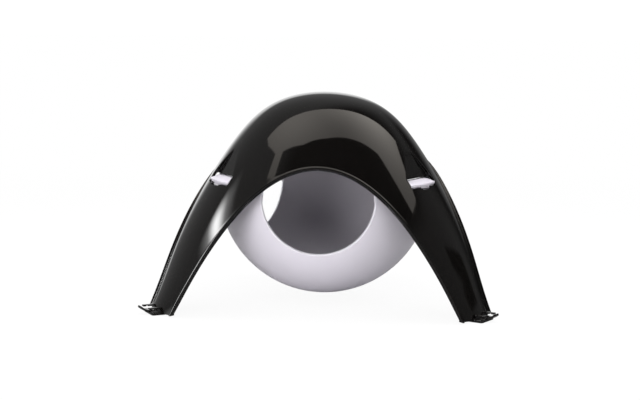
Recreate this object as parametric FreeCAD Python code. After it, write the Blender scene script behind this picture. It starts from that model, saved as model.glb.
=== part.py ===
import FreeCAD, Part
import math
import os

from FreeCAD import Vector

# A hideout house for rats and other large rodents: a dome roof on three legs, and a round bowl that
# hangs inside it by three snap tabs. Millimetres and degrees, +Z up. The origin is on the floor,
# under the crown of the dome, and everything repeats three times around +Z.

# Bowl
bowl_radius = 86.0
bowl_wall = 2.2
bowl_floor_gap = 6.5
rim_above_centre = 12.5
doorway_radius = 44.4

# Snap tabs on the bowl, and the slots that they hang in
tab_width = 35.0
tab_thickness = 5.2
tab_nose_drop = 2.6
tab_nose_set_back = 0.8
tab_undercut = 0.9
tab_root = 0.8
barb_width = 12.5
barb_depth = 1.6
barb_drop = 1.2
slot_side_clearance = 0.8
slot_top_clearance = 1.0
slot_rest_gap = 0.2

# Roof: the section at a height is a triangle with round corners and full sides
roof_height = 169.7
roof_wall = 2.0
crown_radius = 111.6
roof_gap = 1.0
side_fullness = 0.65
rim_spread = 27.5
knee_height = 50.0
knee_spread = 54.7
knee_widening = 3.8
foot_spread = 112.0
foot_corner_radius = 36.2
foot_width = 44.5
arch_height = 115.5
lip_height = 2.2
lip_width = 2.0

# Pocket that the slot opens into, on the ridge of each leg
pocket_length = 21.0
pocket_top_width = 7.0

# Foot: sole, toe and the clip for a cage wire. Only the toe touches the floor.
leg_lift = 1.4
sole_thickness = 2.2
sole_depth = 9.0
toe_reach = 4.4
toe_width = 20.0
toe_corner_radius = 2.5
toe_thickness = 2.4
tongue_bend = 7.6
tongue_reach = 11.4
tongue_width = 8.0
tongue_thickness = 1.5
tongue_tip_height = 6.5
finger_reach = 6.4
finger_width = 3.4
finger_spacing = 14.0
finger_height = 4.5
finger_thickness = 1.3
wire_radius = 1.1
wire_stand_off = 3.1
wire_seat_depth = 0.6

# How the skins are drawn
section_count = 15
crown_flat = 0.02
floor_overrun = 8.0

legs = 3
leg_step = 360.0 / legs
first_leg = -30.0
far = 400.0

# Heights that the two mouldings share
bowl_centre = bowl_floor_gap + bowl_radius
rim_height = bowl_centre + rim_above_centre
rim_radius = math.sqrt(bowl_radius ** 2 - rim_above_centre ** 2)
slot_top = rim_height + slot_top_clearance
tab_underside = rim_height - tab_thickness
slot_bottom = tab_underside - slot_rest_gap
wire_height = finger_height + wire_seat_depth - wire_radius


def through(known, x):
    """The lowest polynomial through the known points, read at x."""
    total = 0.0
    for here, value in known:
        share = value
        for other, unused in known:
            if other != here:
                share *= (x - other) / (here - other)
        total += share
    return total


def fall(z):
    """How far a height lies below the crown, from 0 there to 1 on the floor."""
    return 1.0 - z / roof_height


def side_distance(spread, corner):
    """From the axis to the middle of a section's side."""
    return corner + spread * (1.0 + side_fullness) / 2.0


# The corner at the bowl's rim is as large as it takes for the sides to clear the bowl there.
rim_corner_radius = rim_radius + roof_gap + roof_wall - side_distance(rim_spread, 0.0)
knee_corner_radius = rim_corner_radius + knee_widening


def leg_spread(z):
    """Distance of a corner's centre from the axis: grows with the square of the fall at first."""
    stations = ((rim_height, rim_spread), (knee_height, knee_spread), (0.0, foot_spread))
    known = [(fall(h), spread / fall(h) ** 2) for h, spread in stations]
    return fall(z) ** 2 * through(known, fall(z))


def corner_radius(z):
    """Radius of a corner: grows with the root of the fall at first, so that the crown is round."""
    stations = (
        (rim_height, rim_corner_radius),
        (knee_height, knee_corner_radius),
        (0.0, foot_corner_radius),
    )
    known = [(0.0, math.sqrt(2.0 * crown_radius * roof_height))]
    known += [(fall(h), radius / math.sqrt(fall(h))) for h, radius in stations]
    return math.sqrt(fall(z)) * through(known, fall(z))


def ridge(z):
    """Outer reach of a leg's ridge at a height."""
    return leg_spread(z) + corner_radius(z)


def skin_normal(z):
    """Outward and upward parts of the skin's normal on the ridge."""
    step = 0.01
    lean = (ridge(z - step) - ridge(z + step)) / (2.0 * step)
    return 1.0 / math.hypot(1.0, lean), lean / math.hypot(1.0, lean)


def side_arc(spread, corner):
    """Set-back of a side arc's centre behind the axis, its radius, and the turn of half a corner."""
    set_back = spread * (1.0 - (1.0 + side_fullness) ** 2 / 4.0) / side_fullness
    radius = side_distance(spread, corner) + set_back
    sixty = math.radians(60.0)
    turn = math.atan2(set_back * math.sin(sixty), spread + set_back * math.cos(sixty))
    return set_back, radius, math.degrees(turn)


def polar(reach, azimuth, z):
    angle = math.radians(azimuth)
    return Vector(reach * math.cos(angle), reach * math.sin(angle), z)


def arc(centre, radius, start, end):
    circle = Part.Circle(centre, Vector(0, 0, 1), radius)
    return Part.Arc(circle, math.radians(start), math.radians(end)).toShape()


def section(z, grow):
    """Closed wire of six tangent arcs round the roof at a height, moved out along the skin's normal."""
    out, up = skin_normal(z)
    level = z + grow * up
    spread = leg_spread(z)
    corner = corner_radius(z) + grow * out
    set_back, side_radius, turn = side_arc(spread, corner)
    edges = []
    for leg in range(legs):
        azimuth = first_leg + leg * leg_step
        edges.append(arc(polar(spread, azimuth, level), corner, azimuth - turn, azimuth + turn))
        middle = azimuth + leg_step / 2.0
        centre = polar(-set_back, middle, level)
        half = leg_step / 2.0 - turn
        edges.append(arc(centre, side_radius, middle - half, middle + half))
    return Part.Wire(edges)


def skin(grow):
    """Solid under the roof's outer skin, or under that skin moved out or in."""
    lowest = math.sqrt(fall(-floor_overrun))
    wires = []
    for i in range(section_count):
        place = crown_flat + (lowest - crown_flat) * i / (section_count - 1)
        wires.append(section(roof_height * (1.0 - place ** 2), grow))
    wires.reverse()
    return Part.makeLoft(wires, True, False)


def turned(shape, azimuth):
    copy = shape.copy()
    copy.rotate(Vector(0, 0, 0), Vector(0, 0, 1), azimuth)
    return copy


def around(shape):
    """The same shape on every leg, given along +X."""
    return [turned(shape, first_leg + leg * leg_step) for leg in range(legs)]


def between(shape):
    """The same shape in every arch, given along +X."""
    return [turned(shape, first_leg + (leg + 0.5) * leg_step) for leg in range(legs)]


def block(low, high):
    size = Vector(*high) - Vector(*low)
    return Part.makeBox(size.x, size.y, size.z, Vector(*low))


def prism(points, move):
    """Solid swept from a flat outline."""
    corners = [Vector(*p) for p in points]
    return Part.Face(Part.makePolygon(corners + corners[:1])).extrude(Vector(*move))


def foot_edge():
    """Reach along the leg of the foot's edge, half a foot width to the side of the ridge."""
    set_back, radius, turn = side_arc(foot_spread, foot_corner_radius)
    sixty = math.radians(60.0)
    slope = math.asin((foot_width / 2.0 + set_back * math.sin(sixty)) / radius)
    return radius * math.cos(slope) - set_back * math.cos(sixty)


def arch_cutter(margin):
    """Parabolic doorway through one side of the roof, along +X, larger all round by a margin."""
    half_step = math.radians(leg_step / 2.0)
    half_span = foot_edge() * math.sin(half_step) - foot_width / 2.0 * math.cos(half_step)
    steepness = math.atan2(2.0 * arch_height, half_span)
    half_span += margin / math.sin(steepness)
    apex = arch_height + margin
    foot = half_span * math.sqrt(1.0 + floor_overrun / apex)
    curve = Part.BezierCurve()
    curve.setPoles([
        Vector(0, -foot, -floor_overrun),
        Vector(0, 0, 2.0 * apex + floor_overrun),
        Vector(0, foot, -floor_overrun),
    ])
    base = Part.makeLine(Vector(0, foot, -floor_overrun), Vector(0, -foot, -floor_overrun))
    return Part.Face(Part.Wire([curve.toShape(), base])).extrude(Vector(far, 0, 0))


def pocket_back(z):
    """Reach of the pocket's flat back, which leans from the bowl's rim out to the ridge."""
    top = slot_top + pocket_length
    return through([(slot_top, rim_radius + roof_gap), (top, ridge(top))], z)


def pocket_cutter(bottom, margin):
    """Wedge that opens the pocket on a leg along +X, larger at its back and sides by a margin."""
    top = slot_top + pocket_length + 4.0 * margin
    lean = math.atan2(pocket_back(0.0) - pocket_back(1.0), 1.0)
    back = margin / math.cos(lean)
    side = prism(
        [
            (pocket_back(bottom) - back, -far / 2, bottom),
            (far, -far / 2, bottom),
            (far, -far / 2, top),
            (pocket_back(top) - back, -far / 2, top),
        ],
        (0, far, 0),
    )
    half = tab_width / 2.0 + slot_side_clearance + margin
    half_top = pocket_top_width / 2.0 + margin
    front = prism(
        [
            (0, -half, bottom),
            (0, half, bottom),
            (0, half, slot_top),
            (0, half_top, top),
            (0, -half_top, top),
            (0, -half, slot_top),
        ],
        (far, 0, 0),
    )
    return side.common(front)


def barb_notch():
    """Room for a tab's barb in the lower edge of a slot along +X."""
    half = barb_width / 2.0 + slot_side_clearance
    low = tab_underside - barb_drop - slot_rest_gap
    return block((rim_radius, -half, low), (far, half, slot_top))


def sole():
    """Plate that closes the bottom of a leg along +X, from a straight inner edge to the skin."""
    inner = ridge(0.0) - sole_depth
    return block((inner, -foot_width, leg_lift), (far, foot_width, leg_lift + sole_thickness))


def toe():
    """Plate on the floor under a foot along +X, with two round corners in front."""
    reach = ridge(0.0) + toe_reach
    half = toe_width / 2.0
    plate = block((ridge(0.0) - sole_depth, -half, 0.0), (reach, half, toe_thickness))
    corners = [edge for edge in plate.Edges if edge.BoundBox.ZLength > 0.5 * toe_thickness]
    front = [edge for edge in corners if edge.CenterOfMass.x > ridge(0.0)]
    return plate.makeFillet(toe_corner_radius, front)


def tongue():
    """Strip that rises from the toe to an upturned tip, drawn as a profile along +X."""
    root = ridge(0.0) - roof_wall
    tip = ridge(0.0) + tongue_reach
    middle = ridge(0.0) + tongue_bend
    low = toe_thickness - tongue_thickness
    half = tongue_width / 2.0
    under = Part.BezierCurve()
    under.setPoles([
        Vector(root, -half, low),
        Vector(middle, -half, low + 0.4),
        Vector(tip, -half, tongue_tip_height - tongue_thickness),
    ])
    over = Part.BezierCurve()
    over.setPoles([
        Vector(tip - 0.6 * tongue_thickness, -half, tongue_tip_height),
        Vector(middle - 0.4, -half, toe_thickness + 0.2),
        Vector(root, -half, toe_thickness),
    ])
    end = Part.makeLine(under.EndPoint, over.StartPoint)
    close = Part.makeLine(over.EndPoint, under.StartPoint)
    outline = Part.Wire([under.toShape(), end, over.toShape(), close])
    return Part.Face(outline).extrude(Vector(0, tongue_width, 0))


def wire_seat():
    """Round seat for a cage wire, across a foot along +X, under both fingers."""
    place = Vector(ridge(0.0) + wire_stand_off, -far / 2, wire_height)
    return Part.makeCylinder(wire_radius, far, place, Vector(0, 1, 0))


def fingers():
    """Two short fingers above the wire, one each side of the tongue along +X."""
    root = ridge(finger_height + finger_thickness) - 3.0 * roof_wall
    pair = []
    for side in (-1, 1):
        middle = side * finger_spacing / 2.0
        start = (root, middle - finger_width / 2.0, finger_height)
        end = (
            ridge(0.0) + finger_reach,
            middle + finger_width / 2.0,
            finger_height + finger_thickness,
        )
        pair.append(block(start, end).cut(wire_seat()))
    return pair


def build_roof():
    """Dome and legs in one moulding: skins, arches, lips, pockets with slots, and feet."""
    outer = skin(0.0)
    inner = skin(-roof_wall)
    lipped = skin(lip_height)
    arches = between(arch_cutter(0.0))
    wide_arches = between(arch_cutter(lip_width))
    pockets = around(pocket_cutter(slot_bottom, 0.0)) + around(barb_notch())
    pocket_walls = around(pocket_cutter(slot_top, roof_wall))

    cavity = inner.cut(pocket_walls)
    shell = outer.cut(pockets).cut(cavity).cut(arches)
    lips = [lipped.common(wide).cut([cavity] + arches) for wide in wide_arches]
    soles = [outer.common(plate).cut(arches) for plate in around(sole())]
    under_legs = block((-far, -far, -far), (far, far, leg_lift))
    cut_legs = shell.fuse(lips + soles).cut(under_legs)
    clips = around(toe())
    for piece in [tongue()] + fingers():
        clips += [part.cut([cavity] + arches) for part in around(piece)]
    return cut_legs.fuse(clips).removeSplitter()


def build_bowl():
    """Part of a hollow sphere, open at the rim, with a round doorway in every arch."""
    centre = Vector(0, 0, bowl_centre)
    outside = Part.makeSphere(bowl_radius, centre)
    inside = Part.makeSphere(bowl_radius - bowl_wall, centre)
    above = block((-far, -far, rim_height), (far, far, far))
    doorway = Part.makeCylinder(doorway_radius, far, centre, Vector(1, 0, 0))
    return outside.cut([inside, above] + between(doorway))


def swept(profile, width):
    """Profile swept round the upright line through a leg corner's centre, cut to a width."""
    outline = Part.Face(Part.makePolygon([Vector(x, 0, z) for x, z in profile + profile[:1]]))
    axis = Vector(leg_spread(slot_bottom), 0, 0)
    outline.rotate(axis, Vector(0, 0, 1), -45.0)
    ring = outline.revolve(axis, Vector(0, 0, 1), 90.0)
    return ring.common(block((0, -width / 2.0, 0), (far, width / 2.0, far)))


def build_tabs():
    """Snap tabs, one on every leg: a sloping top, a nose along the skin's edge, a barb under it."""
    nose = ridge(slot_bottom) - tab_nose_set_back
    face = nose - tab_undercut
    inner = rim_radius - bowl_wall
    bar = swept(
        [
            (inner, rim_height),
            (rim_radius + tab_root, rim_height),
            (nose, rim_height - tab_nose_drop),
            (face, tab_underside),
            (inner, tab_underside),
        ],
        tab_width,
    )
    barb = swept(
        [
            (face - barb_depth, tab_underside + tab_undercut),
            (face, tab_underside + tab_undercut),
            (face, tab_underside - barb_drop),
            (face - barb_depth, tab_underside - barb_drop),
        ],
        barb_width,
    )
    bowl_side = Part.makeSphere(bowl_radius, Vector(0, 0, bowl_centre))
    return around(bar.fuse(barb).cut(bowl_side).removeSplitter())


def write(name, shape):
    solids = shape if isinstance(shape, list) else [shape]
    whole = Part.makeCompound(solids) if len(solids) > 1 else solids[0]
    whole.exportStep(os.path.join("parts", name + ".step"))
    print(name, len(whole.Solids), "solids,", round(whole.Volume / 1000.0, 1), "cm3,", whole.isValid())


os.makedirs("parts", exist_ok=True)
write("roof", build_roof())
write("bowl", build_bowl())
write("snap_tabs", build_tabs())
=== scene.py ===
import math

import bpy
import numpy as np
from mathutils import Matrix, Vector


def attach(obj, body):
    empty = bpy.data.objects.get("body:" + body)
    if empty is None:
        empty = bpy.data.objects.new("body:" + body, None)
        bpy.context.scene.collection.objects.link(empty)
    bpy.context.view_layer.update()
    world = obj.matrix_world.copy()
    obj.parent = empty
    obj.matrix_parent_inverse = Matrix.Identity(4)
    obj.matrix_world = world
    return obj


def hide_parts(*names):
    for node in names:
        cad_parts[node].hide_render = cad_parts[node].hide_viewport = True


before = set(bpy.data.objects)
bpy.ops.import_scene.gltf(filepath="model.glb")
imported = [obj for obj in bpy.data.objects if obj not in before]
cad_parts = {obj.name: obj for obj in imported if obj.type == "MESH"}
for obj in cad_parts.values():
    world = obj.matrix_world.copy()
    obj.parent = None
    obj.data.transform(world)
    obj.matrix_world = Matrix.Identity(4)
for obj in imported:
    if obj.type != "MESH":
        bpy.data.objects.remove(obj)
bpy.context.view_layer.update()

bl_info = {
    "name": "Rodent hideout house",
    "version": (1, 0, 0),
    "blender": (4, 5, 0),
    "location": "3D View > Sidebar > Hideout",
    "description": "Builds the looks of a dome hideout with a hanging bowl for rats",
    "category": "Object",
}

# Metres, +Z up, the origin on the floor under the crown. Everything repeats three times around +Z,
# so a part is worked out in the frame of one leg: X outwards along the leg, T sideways, Z up.

LEGS = 3
SECTOR = 2.0 * math.pi / LEGS
FIRST_LEG = math.radians(-30.0)
ROOF_BODY = "roof"
BOWL_BODY = "bowl"


# Properties

def length(name, description, default):
    return bpy.props.FloatProperty(
        name=name, description=description, default=default, min=0.0, unit="LENGTH", precision=4
    )


def colour(name, description, default):
    return bpy.props.FloatVectorProperty(
        name=name, description=description, default=default, size=3, min=0.0, max=1.0, subtype="COLOR"
    )


def factor(name, description, default):
    return bpy.props.FloatProperty(
        name=name, description=description, default=default, min=0.0, max=1.0, subtype="FACTOR"
    )


class HideoutRoof(bpy.types.PropertyGroup):
    """Sizes of the dome and its legs."""

    height: length("Height", "Floor to the outside of the crown", 0.1697)
    wall: length("Wall", "Thickness of the skin", 0.0020)
    crown_radius: length("Crown radius", "Curve of the skin at the crown", 0.1116)
    fullness: factor("Side fullness", "0 for straight sides of a section, 1 for round ones", 0.65)
    rim_spread: length("Spread at the rim", "Leg corner's centre to the axis at the bowl's rim", 0.0275)
    knee_height: length("Knee height", "Height of the middle station", 0.0500)
    knee_spread: length("Spread at the knee", "Leg corner's centre to the axis at the knee", 0.0547)
    knee_widening: length("Knee widening", "Corner radius at the knee, less that at the rim", 0.0038)
    foot_spread: length("Spread at the foot", "Leg corner's centre to the axis on the floor", 0.1120)
    foot_corner: length("Corner at the foot", "Corner radius of the section on the floor", 0.0362)
    foot_width: length("Foot width", "Width of a leg on the floor", 0.0445)
    leg_lift: length("Leg lift", "Floor to the bottom edge of a leg, which stands on its toe", 0.0014)
    gap: length("Gap", "Clear space between the bowl's rim and the skin", 0.0010)
    arch_height: length("Arch height", "Floor to the top of an arch", 0.1155)
    lip_height: length("Lip height", "How far the lip stands out of the skin", 0.0020)
    lip_width: length("Lip width", "Width of the lip's top", 0.0019)
    lip_foot: length("Lip foot", "Width of the lip with its hollow fillet", 0.0034)
    pocket_length: length("Pocket length", "Slot to the tip of the pocket", 0.0210)
    pocket_tip: length("Pocket tip", "Width of the pocket at its tip", 0.0070)
    pocket_round: length("Pocket rounding", "Rounding of the pocket's edge", 0.0012)


class HideoutBowl(bpy.types.PropertyGroup):
    """Sizes of the bowl and its snap tabs."""

    radius: length("Radius", "Outer radius of the bowl", 0.0860)
    wall: length("Wall", "Thickness of the bowl", 0.0022)
    floor_gap: length("Floor gap", "Floor to the bottom of the bowl", 0.0065)
    rim_above: length("Rim", "Rim above the middle of the bowl", 0.0125)
    doorway: length("Doorway radius", "Radius of a doorway", 0.0444)
    edge_round: length("Edge rounding", "Rounding of the doorway's and rim's edges", 0.0005)
    tab_width: length("Tab width", "Width of a snap tab", 0.0350)
    tab_thickness: length("Tab thickness", "Height of a snap tab", 0.0052)
    tab_drop: length("Nose drop", "Rim to the tab's nose", 0.0026)
    tab_set_back: length("Nose set-back", "Tab's nose behind the skin's edge", 0.0008)
    tab_undercut: length("Undercut", "Tab's face behind its nose at the bottom", 0.0009)
    tab_root: length("Tab root", "Level strip of the tab along the rim", 0.0008)
    barb_width: length("Barb width", "Width of the tab's barb", 0.0125)
    barb_depth: length("Barb depth", "Depth of the tab's barb", 0.0016)
    barb_drop: length("Barb drop", "Barb below the tab", 0.0012)
    slot_side: length("Slot side gap", "Tab's end to the end of the slot", 0.0008)
    slot_top: length("Slot top gap", "Tab to the top of the slot", 0.0010)
    slot_rest: length("Slot rest gap", "Tab to the bottom of the slot", 0.0002)


class HideoutFoot(bpy.types.PropertyGroup):
    """Sizes of a foot and its clip for a cage wire."""

    sole_depth: length("Sole depth", "Sole behind the skin", 0.0090)
    sole_thickness: length("Sole thickness", "Thickness of the sole", 0.0022)
    toe_reach: length("Toe reach", "Toe in front of the skin", 0.0044)
    toe_width: length("Toe width", "Width of the toe", 0.0200)
    toe_corner: length("Toe corner", "Rounding of the toe's two front corners", 0.0025)
    toe_thickness: length("Toe thickness", "Thickness of the toe", 0.0024)
    tongue_bend: length("Tongue bend", "Where the tongue turns upwards, in front of the skin", 0.0076)
    tongue_reach: length("Tongue reach", "Tip of the tongue in front of the skin", 0.0114)
    tongue_width: length("Tongue width", "Width of the spring tongue", 0.0080)
    tongue_thickness: length("Tongue thickness", "Thickness of the spring tongue", 0.0015)
    tongue_tip: length("Tongue tip", "Floor to the top of the tongue's tip", 0.0065)
    finger_reach: length("Finger reach", "Fingers in front of the skin", 0.0064)
    finger_width: length("Finger width", "Width of a finger", 0.0034)
    finger_spacing: length("Finger spacing", "Between the middles of the fingers", 0.0140)
    finger_height: length("Finger height", "Floor to the underside of the fingers", 0.0045)
    finger_thickness: length("Finger thickness", "Thickness of a finger", 0.0013)
    wire_radius: length("Wire radius", "Radius of the cage wire that the clip takes", 0.0011)
    wire_stand_off: length("Wire stand-off", "Middle of the wire in front of the skin", 0.0031)
    wire_seat: length("Wire seat", "Depth of the seat in a finger", 0.0006)
    edge_round: length("Edge rounding", "Rounding of the clip's edges", 0.0003)


class HideoutLooks(bpy.types.PropertyGroup):
    """Colours and finish of the two mouldings, and of the floor."""

    roof_colour: colour("Roof colour", "Black plastic of the roof", (0.0032, 0.0028, 0.0026))
    roof_roughness: factor("Roof roughness", "Gloss of the roof", 0.03)
    bowl_colour: colour("Bowl colour", "Pale grey plastic of the bowl", (0.600, 0.573, 0.632))
    # The edge colour is a painted highlight: paler plastic that stands in for light through the thin
    # doorway edge.
    edge_highlight_colour: colour("Edge colour", "Thin edge round the doorways", (0.68, 0.66, 0.71))
    bowl_roughness: factor("Bowl roughness", "Satin finish of the bowl", 0.36)
    floor_colour: colour("Floor colour", "Plain pale floor", (0.90, 0.90, 0.90))


SETTINGS = {
    "hideout_roof": HideoutRoof,
    "hideout_bowl": HideoutBowl,
    "hideout_foot": HideoutFoot,
    "hideout_looks": HideoutLooks,
}


# Shape of the roof's skin

NORMAL_STEP = 1e-5
UNDER_CROWN = 0.99999
LEAST_REACH = 1e-6
LEAST_COSINE = 0.2


def through(known, x):
    """The lowest polynomial through the known points, read at x."""
    total = 0.0
    for here, value in known:
        share = value
        for other, _ in known:
            if other != here:
                share = share * (x - other) / (here - other)
        total = total + share
    return total


class Skin:
    """The roof's outer skin: at each height a triangle with round corners and full sides.

    With u the fall from the crown as a share of the height, a corner's centre lies u squared times a
    polynomial from the axis, and its radius is the root of u times a polynomial. The sides are arcs
    that meet the corners without a kink.
    """

    def __init__(self, roof, bowl):
        self.height = roof.height
        self.lift = roof.leg_lift
        self.fullness = roof.fullness
        self.bowl_centre = bowl.floor_gap + bowl.radius
        self.rim = self.bowl_centre + bowl.rim_above
        self.rim_radius = math.sqrt(bowl.radius ** 2 - bowl.rim_above ** 2)
        rim_fall, knee_fall = self.fall(self.rim), self.fall(roof.knee_height)
        rim_corner = self.rim_radius + roof.gap + roof.wall - self.side(roof.rim_spread, 0.0)
        self.spreads = [
            (rim_fall, roof.rim_spread / rim_fall ** 2),
            (knee_fall, roof.knee_spread / knee_fall ** 2),
            (1.0, roof.foot_spread),
        ]
        self.corners = [
            (0.0, math.sqrt(2.0 * roof.crown_radius * roof.height)),
            (rim_fall, rim_corner / math.sqrt(rim_fall)),
            (knee_fall, (rim_corner + roof.knee_widening) / math.sqrt(knee_fall)),
            (1.0, roof.foot_corner),
        ]
        self.front = float(self.ridge(0.0))

    def fall(self, z):
        return 1.0 - z / self.height

    def side(self, spread, corner):
        """Axis to the middle of a section's side."""
        return corner + spread * (1.0 + self.fullness) / 2.0

    def spread(self, z):
        return self.fall(z) ** 2 * through(self.spreads, self.fall(z))

    def corner(self, z):
        return np.sqrt(np.maximum(self.fall(z), 0.0)) * through(self.corners, self.fall(z))

    def ridge(self, z):
        return self.spread(z) + self.corner(z)

    def side_arc(self, z):
        """Set-back of a side arc's centre behind the axis, and the arc's radius."""
        spread = self.spread(z)
        set_back = spread * (1.0 - (1.0 + self.fullness) ** 2 / 4.0) / self.fullness
        return set_back, self.side(spread, self.corner(z)) + set_back

    def reach_at_turn(self, turn, z):
        """Distance from the axis at an angle from the nearest leg: on the corner's circle within the
        corner, and on the side's circle past it."""
        turn = np.abs((turn + SECTOR / 2.0) % SECTOR - SECTOR / 2.0)
        spread, corner = self.spread(z), self.corner(z)
        set_back, radius = self.side_arc(z)
        bend = np.arctan2(set_back * math.sin(SECTOR / 2.0), spread + set_back * math.cos(SECTOR / 2.0))
        limit = np.arctan2(corner * np.sin(bend), spread + corner * np.cos(bend))
        inside = np.maximum(corner ** 2 - (spread * np.sin(turn)) ** 2, 0.0)
        on_corner = spread * np.cos(turn) + np.sqrt(inside)
        rest = SECTOR / 2.0 - turn
        on_side = np.sqrt(radius ** 2 - (set_back * np.sin(rest)) ** 2) - set_back * np.cos(rest)
        return np.where(turn <= limit, on_corner, on_side)

    def at_turn(self, turn, z):
        """Point of the skin at an angle from a leg and a height, in the leg's frame."""
        reach = self.reach_at_turn(turn, z)
        return np.stack([reach * np.cos(turn), reach * np.sin(turn), z + 0.0 * turn], -1)

    def at_side(self, t, z):
        """Point of the skin at a sideways distance from a leg's middle, on the corner's circle."""
        corner = self.corner(z)
        inside = np.sqrt(np.maximum(corner ** 2 - t ** 2, (LEAST_COSINE * corner) ** 2))
        return np.stack([self.spread(z) + inside, t + 0.0 * z, z + 0.0 * t], -1)

    def normal(self, points):
        """Outward normal: the gradient of the distance from the axis less the skin's reach there."""
        turn = np.arctan2(points[..., 1], points[..., 0])
        reach = np.hypot(points[..., 0], points[..., 1])
        z = np.minimum(points[..., 2], self.height * UNDER_CROWN)
        step = NORMAL_STEP
        along = (self.reach_at_turn(turn + step, z) - self.reach_at_turn(turn - step, z)) / (2.0 * step)
        rise = (self.reach_at_turn(turn, z) - self.reach_at_turn(turn, z - step)) / step
        outward = np.stack([np.cos(turn), np.sin(turn), 0.0 * turn], -1)
        sideways = np.stack([-np.sin(turn), np.cos(turn), 0.0 * turn], -1)
        up = np.array([0.0, 0.0, 1.0])
        along = along / np.maximum(reach, LEAST_REACH)
        return unit(outward - sideways * along[..., None] - up * rise[..., None])


# Small tools for surfaces

ROUND_STEPS = 4
LARGEST_ROUND = 0.45
TINY = 1e-9
SHARP_ANGLE = math.radians(35.0)


def blend(a, b, share):
    return a + (b - a) * share


def smooth(x):
    """0 below 0, 1 above 1, and three x squared less two x cubed between."""
    x = np.clip(x, 0.0, 1.0)
    return x * x * (3.0 - 2.0 * x)


def soft_min(a, b, size):
    """The lesser of two values, rounded where they cross over about a size."""
    return 0.5 * (a + b - np.sqrt((a - b) ** 2 + size ** 2))


def unit(vectors):
    """The vectors, each brought to a length of one."""
    return vectors / np.maximum(np.linalg.norm(vectors, axis=-1, keepdims=True), TINY)


def run_along(line):
    """How far each point of a line lies from its start, along the line."""
    steps = np.linalg.norm(np.diff(line, axis=0), axis=1)
    return np.concatenate([[0.0], np.cumsum(steps)])


def bezier(start, corner, end, s):
    """Parabola from start to end that leaves and arrives towards the corner, read at s."""
    return (1.0 - s) ** 2 * start + 2.0 * s * (1.0 - s) * corner + s ** 2 * end


def curve(start, corner, end, count):
    """Points along such a parabola."""
    s = np.linspace(0.0, 1.0, count)[:, None]
    return bezier(*(np.asarray(p, float) for p in (start, corner, end)), s)


def rounded(corners, radius):
    """Closed outline through the corners, each cut back by the radius and rounded by a parabola."""
    corners = np.asarray(corners, float)
    parts = []
    for i, corner in enumerate(corners):
        back = corners[i - 1] - corner
        ahead = corners[(i + 1) % len(corners)] - corner
        shorter = min(np.linalg.norm(back), np.linalg.norm(ahead))
        cut = min(radius, LARGEST_ROUND * shorter)
        start, end = corner + unit(back) * cut, corner + unit(ahead) * cut
        parts.append(curve(start, corner, end, ROUND_STEPS))
    return np.concatenate(parts)


def shrunk(outline, amount):
    """Closed outline moved inwards by an amount, along the mean of its neighbours' normals."""
    along = unit(np.roll(outline, -1, 0) - outline) + unit(outline - np.roll(outline, 1, 0))
    x, y = outline.T
    area = np.sum(x * np.roll(y, -1) - y * np.roll(x, -1))
    inward = unit(np.stack([-along[:, 1], along[:, 0]], 1)) * math.copysign(1.0, area)
    return outline + inward * amount


def turned(points, leg):
    """Points in a leg's frame, put on that leg. Leg 0.5 is the first arch."""
    angle = FIRST_LEG + leg * SECTOR
    c, s = math.cos(angle), math.sin(angle)
    return points @ np.array([[c, s, 0.0], [-s, c, 0.0], [0.0, 0.0, 1.0]])


def full_ring(half, first):
    """Half a sector's grid, mirrored, and set three times round the axis from a leg or arch on."""
    mirrored = half[:, 1:-1][:, ::-1] * np.array([1.0, -1.0, 1.0])
    sector = np.concatenate([mirrored, half], 1)
    return np.concatenate([turned(sector, first + leg) for leg in range(LEGS)], 1)


def ring_quads(rows, columns):
    """Faces of a grid whose last column joins its first, as rows x columns x 4 indices."""
    here = np.arange(rows * columns).reshape(rows, columns)
    right = np.roll(here, -1, 1)
    return np.stack([here[:-1], here[1:], right[1:], right[:-1]], -1)


def facing_out(points, faces):
    """The faces, turned round if the signed volume under their first corners is below nought."""
    corners = [np.array([face[min(k, len(face) - 1)] for face in faces]) for k in range(4)]
    first, second, third, fourth = (points[corner] for corner in corners)
    across = np.cross(second, third) + np.cross(third, fourth)
    if np.einsum("ij,ij->i", first, across).sum() > 0.0:
        return faces
    return [face[::-1] for face in faces]


def capped(ring, faces, first_height, last_height):
    """A ring's points and faces, with its first and last row each closed to a point on the axis. The
    faces are turned outwards, and points that no face uses are left out."""
    rows, columns = ring.shape[:2]
    poles = [(0.0, 0.0, first_height), (0.0, 0.0, last_height)]
    points = np.concatenate([ring.reshape(-1, 3), poles])
    first = list(range(columns))
    last = list(range((rows - 1) * columns, rows * columns))
    faces = faces + [[len(points) - 2, a, b] for a, b in zip(first, first[1:] + first[:1])]
    faces += [[len(points) - 1, b, a] for a, b in zip(last, last[1:] + last[:1])]
    used = np.unique(np.concatenate(faces))
    place = np.zeros(len(points), int)
    place[used] = np.arange(len(used))
    return points[used], facing_out(points[used], [place[face].tolist() for face in faces])


def bar_stations(half_width, radius):
    """Places from end to end of a bar, and how far its outline is shrunk there to round the ends."""
    angle = np.linspace(0.0, math.pi / 2.0, ROUND_STEPS)[::-1]
    place = half_width - radius + radius * np.cos(angle)
    inset = radius - radius * np.sin(angle)
    return np.concatenate([-place[::-1], place]), np.concatenate([inset[::-1], inset])


def swept(outline, stations, to_space):
    """Closed bar: the outline at every station, shrunk there and put in space by a function, with
    quads between the stations and a face on each end."""
    sections = []
    for place, inset in zip(*stations):
        x, y = shrunk(outline, inset).T
        sections.append(np.column_stack(np.broadcast_arrays(*to_space(x, y, place))))
    rows, columns = len(sections), len(outline)
    points = np.concatenate(sections)
    faces = ring_quads(rows, columns).reshape(-1, 4).tolist()
    faces.append(list(range(columns)))
    faces.append(list(range((rows - 1) * columns, rows * columns))[::-1])
    return points, facing_out(points, faces)


def on_every_leg(parts):
    """One mesh of all the parts, each of them on every leg."""
    points, faces, count = [], [], 0
    for part_points, part_faces in parts:
        for leg in range(LEGS):
            points.append(turned(part_points, leg))
            faces += [[i + count for i in face] for face in part_faces]
            count += len(part_points)
    return np.concatenate(points), faces


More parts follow.
